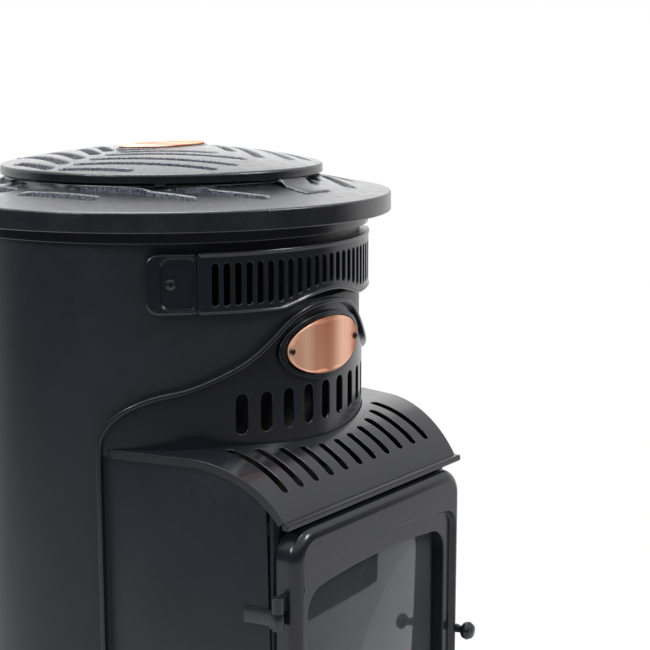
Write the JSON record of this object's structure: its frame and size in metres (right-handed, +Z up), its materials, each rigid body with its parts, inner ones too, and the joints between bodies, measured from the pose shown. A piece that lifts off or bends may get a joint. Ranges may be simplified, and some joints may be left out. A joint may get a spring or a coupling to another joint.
{
  "type": "gas-fired potbelly-style stove",
  "caption": "Round black sheet-steel stove on castors with a slotted cast top, lift lid, louvred band, oval badge, curved hood and a glazed front door.",
  "frame": {"origin": "middle of the footprint on the floor, under the castors", "axes": "+Z up; the door faces -Y; +X is to the right seen from the front"},
  "size_m": [0.49, 0.555, 0.7955],
  "materials": {
    "drum_paint": "matt powder coat with a faint blue tint",
    "hood_paint": "satin powder coat",
    "cast": "satin black stove paint over a fine cast grain",
    "black_steel": "black oxide",
    "copper": "brushed copper plate",
    "zinc_steel": "zinc-coated sheet",
    "wheel_rubber": "matt",
    "door_glass": "clear heat-proof glass, slightly tinted",
    "log_ceramic": "rough fibre ceramic",
    "ember_ceramic": "rough fibre ceramic",
    "brass": "machined brass",
    "black_plastic": "matt"
  },
  "bodies": {
    "cabinet": {"drum_shell": "drum_paint", "side_wall_left": "drum_paint", "side_wall_right": "drum_paint", "front_frame": "drum_paint", "base_plate": "drum_paint", "apron_panel": "hood_paint", "louvre_band": "hood_paint", "hood": "hood_paint", "collar_ring": "hood_paint", "plinth_skirt": "hood_paint", "control_panel": "hood_paint", "top_ring_plate": "cast", "lid_hinge_bracket": "cast", "badge_back_plate": "black_steel", "badge_screw_left": "black_steel", "badge_screw_right": "black_steel", "band_screw_left": "black_steel", "band_screw_right": "black_steel", "collar_bolt_1": "black_steel", "collar_bolt_2": "black_steel", "collar_bolt_3": "black_steel", "collar_bolt_4": "black_steel", "door_hinge_upper": "black_steel", "door_hinge_lower": "black_steel", "rear_hinge_upper": "black_steel", "rear_hinge_lower": "black_steel", "front_badge": "copper", "heat_shield": "zinc_steel", "firebox_liner": "zinc_steel", "burner_tray": "zinc_steel", "gas_pipe": "zinc_steel", "log_back": "log_ceramic", "log_left": "log_ceramic", "log_right": "log_ceramic", "ember_bed": "ember_ceramic", "pilot_assembly": "brass", "gas_valve": "brass", "gas_inlet": "brass", "igniter_body": "black_plastic"},
    "lid": {"lid_disc": "cast", "lid_badge": "copper", "lid_tongue": "cast"},
    "door": {"door_frame": "hood_paint", "door_glass": "door_glass", "glass_retainer": "zinc_steel", "door_knob": "black_steel"},
    "rear_door": {"rear_panel": "drum_paint", "rear_handle": "black_plastic"},
    "spindle": {"valve_spindle": "brass"},
    "tap_knob": {"control_knob": "black_plastic"},
    "igniter": {"igniter_button": "black_plastic"},
    "fork_rear_left": {"castor_fork_rear_left": "zinc_steel"},
    "wheel_rear_left": {"castor_wheel_rear_left": "wheel_rubber"},
    "fork_rear_right": {"castor_fork_rear_right": "zinc_steel"},
    "wheel_rear_right": {"castor_wheel_rear_right": "wheel_rubber"},
    "fork_front_left": {"castor_fork_front_left": "zinc_steel"},
    "wheel_front_left": {"castor_wheel_front_left": "wheel_rubber"},
    "fork_front_right": {"castor_fork_front_right": "zinc_steel"},
    "wheel_front_right": {"castor_wheel_front_right": "wheel_rubber"}
  },
  "joints": [
    {"name": "lid_hinge", "type": "hinge", "parent": "cabinet", "child": "lid", "pos_m": [0, 0.2185, 0.7681], "axis": [-1, 0, 0], "range_deg": [0, 100]},
    {"name": "door_hinge", "type": "hinge", "parent": "cabinet", "child": "door", "pos_m": [-0.1615, -0.24054, 0.27], "axis": [0, 0, -1], "range_deg": [0, 110]},
    {"name": "rear_door_hinge", "type": "hinge", "parent": "cabinet", "child": "rear_door", "pos_m": [0.19246, 0.137, 0.3728], "axis": [0, 0, -1], "range_deg": [0, 110]},
    {"name": "tap_push", "type": "slide", "parent": "cabinet", "child": "spindle", "axis": [0, 0, -1], "range_m": [0, 0.003], "stiffness_N_per_m": 800, "springref_m": -0.01},
    {"name": "tap_turn", "type": "hinge", "parent": "spindle", "child": "tap_knob", "pos_m": [-0.06, 0.1275, 0.71], "axis": [0, 0, 1], "range_deg": [0, 210]},
    {"name": "igniter_push", "type": "slide", "parent": "cabinet", "child": "igniter", "axis": [0, 0, -1], "range_m": [0, 0.004], "stiffness_N_per_m": 900, "springref_m": -0.008},
    {"name": "swivel_rear_left", "type": "hinge", "parent": "cabinet", "child": "fork_rear_left", "pos_m": [-0.12491, 0.13758, 0.05], "axis": [0, 0, 1], "continuous": true},
    {"name": "roll_rear_left", "type": "hinge", "parent": "fork_rear_left", "child": "wheel_rear_left", "pos_m": [-0.12491, 0.15158, 0.022], "axis": [1, 0, 0], "continuous": true},
    {"name": "swivel_rear_right", "type": "hinge", "parent": "cabinet", "child": "fork_rear_right", "pos_m": [0.12491, 0.13758, 0.05], "axis": [0, 0, 1], "continuous": true},
    {"name": "roll_rear_right", "type": "hinge", "parent": "fork_rear_right", "child": "wheel_rear_right", "pos_m": [0.12491, 0.15158, 0.022], "axis": [1, 0, 0], "continuous": true},
    {"name": "swivel_front_left", "type": "hinge", "parent": "cabinet", "child": "fork_front_left", "pos_m": [-0.11204, -0.16753, 0.05], "axis": [0, 0, 1], "continuous": true},
    {"name": "roll_front_left", "type": "hinge", "parent": "fork_front_left", "child": "wheel_front_left", "pos_m": [-0.11204, -0.15353, 0.022], "axis": [1, 0, 0], "continuous": true},
    {"name": "swivel_front_right", "type": "hinge", "parent": "cabinet", "child": "fork_front_right", "pos_m": [0.11204, -0.16753, 0.05], "axis": [0, 0, 1], "continuous": true},
    {"name": "roll_front_right", "type": "hinge", "parent": "fork_front_right", "child": "wheel_front_right", "pos_m": [0.11204, -0.15353, 0.022], "axis": [1, 0, 0], "continuous": true}
  ]
}
